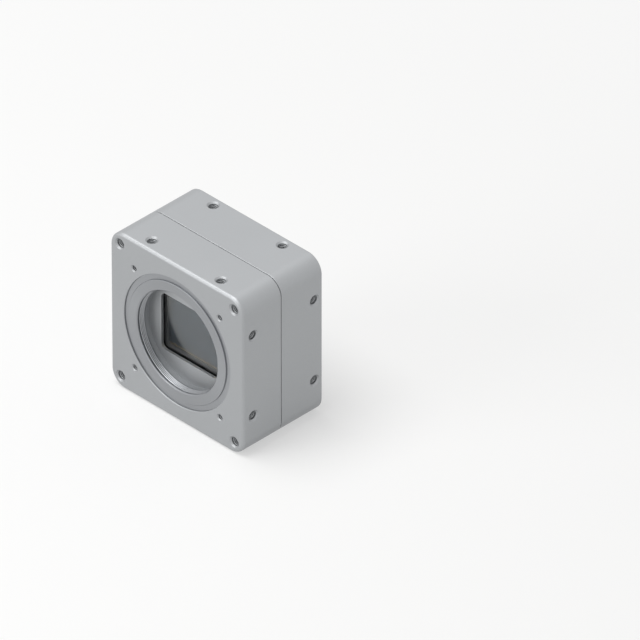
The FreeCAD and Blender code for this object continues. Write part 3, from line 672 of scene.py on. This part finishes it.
class CAMERA_OT_inner_stack(bpy.types.Operator):
    """Finishes the boards, chips, cooling plate and spacers inside"""
    bl_idname = "machine_camera.inner_stack"
    bl_label = "Inner Stack"

    def execute(self, context):
        dress(solder_masked_laminate(), "sensor_board", "processor_board", "interface_board")
        dress(milled_aluminium(), "cooling_plate")
        dress(filled_silicone_pad(), "sensor_heat_pad", "processor_heat_pad")
        dress(moulded_epoxy(), "processor_chip", "memory_chips", "line_driver_chips")
        dress(pressed_ferrite(), "power_inductors")
        dress(moulded_polyester(), "front_link_header", "front_link_socket", "rear_link_header",
              "rear_link_socket")
        dress(nickel_plated_brass(), "front_standoffs", "rear_standoffs")
        dress(bpy.data.materials["headed_stainless_steel"], "interface_board_screws")
        return {"FINISHED"}


class CAMERA_OT_corner_screws(bpy.types.Operator):
    """Finishes the socket head screws in the rear corners"""
    bl_idname = "machine_camera.corner_screws"
    bl_label = "Corner Screws"

    def execute(self, context):
        dress(bpy.data.materials["headed_stainless_steel"], "corner_screws")
        return {"FINISHED"}


class CAMERA_OT_jacks(bpy.types.Operator):
    """Finishes the coaxial jacks and cuts their threads"""
    bl_idname = "machine_camera.jacks"
    bl_label = "Coaxial Jacks"

    def execute(self, context):
        detail = context.scene.camera_detail
        plating = bpy.data.materials["nickel_plated_brass"]
        dress(plating, "jack_washers", "jack_nuts")
        insulator = turned_fluoropolymer()
        gold = bpy.data.materials["gold_plated_bronze"]
        # the thread's colour is darkened: painted shade for its grooves
        thread = oiled_nickel_thread()
        nut_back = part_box("jack_nuts")[1].y
        for number, name in enumerate(JACKS, start=1):
            dress(plating, f"coax_jack_{number}")
            dress(insulator, f"coax_insulator_{number}")
            dress(gold, f"coax_contact_{number}")
            x, _, z = MOUNTS[name]["pos_m"]
            radius, end = widest_barrel(f"coax_jack_{number}", (x, z), nut_back)
            mesh = bmesh.new()
            thread_ridge(mesh, (x, nut_back, z), (0, 1, 0), radius, detail.jack_thread_height,
                         detail.jack_thread_pitch, start=0, stop=end - nut_back,
                         steps=JACK_STEPS)
            finished_object(f"coax_jack_{number}_thread", mesh, thread)
        return {"FINISHED"}


class CAMERA_OT_power_socket(bpy.types.Operator):
    """Finishes the round power socket"""
    bl_idname = "machine_camera.power_socket"
    bl_label = "Power Socket"

    def execute(self, context):
        dress(satin_nickel_plated_brass(), "power_shell", "power_nut")
        dress(bpy.data.materials["moulded_silicone"], "power_seal")
        dress(bpy.data.materials["moulded_polyester"], "power_insulator")
        dress(bpy.data.materials["gold_plated_bronze"], "power_pins")
        return {"FINISHED"}


class CAMERA_OT_status_light(bpy.types.Operator):
    """Finishes the status light and its lamp"""
    bl_idname = "machine_camera.status_light"
    bl_label = "Status Light"

    def execute(self, context):
        dress(moulded_polycarbonate(), "status_light_pipe")
        dress(cast_lamp_resin(), "status_lamp")
        return {"FINISHED"}


class CAMERA_OT_jack_numbers(bpy.types.Operator):
    """Prints a plain number above each jack"""
    bl_idname = "machine_camera.jack_numbers"
    bl_label = "Jack Numbers"

    def execute(self, context):
        detail = context.scene.camera_detail
        ink = screen_printed_ink()
        for number, name in enumerate(JACKS, start=1):
            x, _, z = MOUNTS[name]["pos_m"]
            mesh = bmesh.new()
            if number == 1:
                self.add_one(mesh, detail)
            else:
                self.add_from_font(mesh, str(number), context, detail)
            to_wall = Matrix.Translation((x, REAR_FACE, z + detail.number_rise))
            bmesh.ops.transform(mesh, matrix=to_wall @ READ_FROM_BEHIND, verts=mesh.verts)
            finished_object(f"jack_number_{number}", mesh, ink)
        return {"FINISHED"}

    def add_one(self, mesh, detail):
        """A 1 with a flag, drawn here because the font's own is a bare bar."""
        outline = [(x * detail.number_height, y * detail.number_height) for x, y in ONE_CORNERS]
        skin(mesh, [[(x, y, z) for x, y in outline]
                    for z in (-detail.ink_thickness, detail.ink_thickness)])

    def add_from_font(self, mesh, digit, context, detail):
        """Another digit, from Blender's own font."""
        letter = bpy.data.curves.new(f"digit_{digit}", "FONT")
        letter.body = digit
        letter.align_x = "CENTER"
        letter.align_y = "CENTER"
        letter.size = detail.number_height / FONT_DIGIT_SHARE
        letter.extrude = detail.ink_thickness
        letter.offset = detail.number_weight
        source = bpy.data.objects.new(f"digit_{digit}_text", letter)
        context.scene.collection.objects.link(source)
        context.view_layer.update()
        whole = source.evaluated_get(context.evaluated_depsgraph_get())
        flat = bpy.data.meshes.new_from_object(whole)
        mesh.from_mesh(flat)
        bpy.data.objects.remove(source)
        bpy.data.meshes.remove(flat)
        bmesh.ops.remove_doubles(mesh, verts=mesh.verts, dist=SAME_PLACE)


class CAMERA_OT_stage(bpy.types.Operator):
    """Adds the floor, the lights, the white surroundings and the camera"""
    bl_idname = "machine_camera.stage"
    bl_label = "Stage"

    def execute(self, context):
        stage = context.scene.camera_stage
        self.add_floor(stage)
        self.add_lights(stage)
        self.add_sky(context.scene, stage)
        self.add_view(context.scene, stage)
        context.scene.view_settings.view_transform = "Standard"
        return {"FINISHED"}

    def add_floor(self, stage):
        """A wide round floor under the camera."""
        mesh = bmesh.new()
        bmesh.ops.create_circle(mesh, cap_ends=True, radius=FLOOR_RADIUS, segments=FLOOR_SIDES)
        data = bpy.data.meshes.new("floor")
        mesh.to_mesh(data)
        mesh.free()
        data.materials.append(painted_floor(stage))
        floor = bpy.data.objects.new("floor", data)
        floor.location.z = UNDERSIDE - FLOOR_GAP
        bpy.context.scene.collection.objects.link(floor)

    def add_lights(self, stage):
        """A large key light high up, a little to the left, and a low one in front."""
        for name, where, size, power in (
                ("key_light", stage.key_place, stage.key_size, stage.key_power),
                ("front_light", stage.front_place, stage.front_size, stage.front_power)):
            light = bpy.data.lights.new(name, "AREA")
            light.shape = "DISK"
            light.size = size
            light.energy = power
            lamp = bpy.data.objects.new(name, light)
            lamp.location = where
            lamp.rotation_euler = (-Vector(where)).to_track_quat("-Z", "Y").to_euler()
            bpy.context.scene.collection.objects.link(lamp)

    def add_sky(self, scene, stage):
        """Even white light all round; the camera, metal and glass see it as plain white."""
        scene.world = bpy.data.worlds.new("white_surroundings")
        scene.world.use_nodes = True
        tree = scene.world.node_tree
        strength = add(tree, "MapRange", {"Value": seen_directly(tree),
                                          "To Min": stage.sky_strength, "To Max": 1.0})
        sky = tree.nodes["Background"]
        sky.inputs["Color"].default_value = (1, 1, 1, 1)
        tree.links.new(strength.outputs[0], sky.inputs["Strength"])

    def add_view(self, scene, stage):
        """A far camera with a long lens, which keeps parallel edges parallel as in a technical
        drawing."""
        a, e = stage.azimuth, stage.elevation
        back = Vector((math.sin(a) * math.cos(e), -math.cos(a) * math.cos(e), math.sin(e)))
        right = Vector((math.cos(a), math.sin(a), 0))
        up = back.cross(right)
        metres_per_pixel = stage.frame_width / PHOTO_PIXELS
        aim = (right * (PHOTO_PIXELS / 2 - FACE_CENTRE_PIXEL[0])
               + up * (FACE_CENTRE_PIXEL[1] - PHOTO_PIXELS / 2)) * metres_per_pixel
        data = bpy.data.cameras.new("view")
        data.lens = stage.lens
        data.clip_end = VIEW_REACH
        distance = stage.frame_width * stage.lens / data.sensor_width
        view = bpy.data.objects.new("view", data)
        view.location = aim + back * distance
        view.rotation_mode = "QUATERNION"
        view.rotation_quaternion = (-back).to_track_quat("-Z", "Y")
        scene.collection.objects.link(view)
        scene.camera = view


class CAMERA_PT_looks(bpy.types.Panel):
    """Settings and steps of the camera's looks"""
    bl_idname = "CAMERA_PT_looks"
    bl_label = "Machine Camera"
    bl_space_type = "VIEW_3D"
    bl_region_type = "UI"
    bl_category = "Machine Camera"

    def draw(self, context):
        for setting in SETTINGS:
            group = getattr(context.scene, setting)
            box = self.layout.box()
            for name in group.__annotations__:
                box.prop(group, name)
        for step in STEPS:
            self.layout.operator(step.bl_idname)


SETTINGS = {"camera_finish": CameraFinish, "camera_detail": CameraDetail,
            "camera_stage": CameraStage}
STEPS = (CAMERA_OT_housings, CAMERA_OT_tapped_holes, CAMERA_OT_lens_mount, CAMERA_OT_sensor,
         CAMERA_OT_inner_stack, CAMERA_OT_corner_screws, CAMERA_OT_jacks, CAMERA_OT_power_socket,
         CAMERA_OT_status_light, CAMERA_OT_jack_numbers, CAMERA_OT_stage)


def register():
    """Registers the settings, steps and panel."""
    for name, group in SETTINGS.items():
        bpy.utils.register_class(group)
        setattr(bpy.types.Scene, name, PointerProperty(type=group))
    for step in STEPS:
        bpy.utils.register_class(step)
    bpy.utils.register_class(CAMERA_PT_looks)


def unregister():
    """Takes the panel, steps and settings away again."""
    bpy.utils.unregister_class(CAMERA_PT_looks)
    for step in reversed(STEPS):
        bpy.utils.unregister_class(step)
    for name, group in SETTINGS.items():
        delattr(bpy.types.Scene, name)
        bpy.utils.unregister_class(group)


def main():
    """Runs every step in order."""
    register()
    for step in STEPS:
        group, name = step.bl_idname.split(".")
        getattr(getattr(bpy.ops, group), name)()


if __name__ == "__main__":
    main()
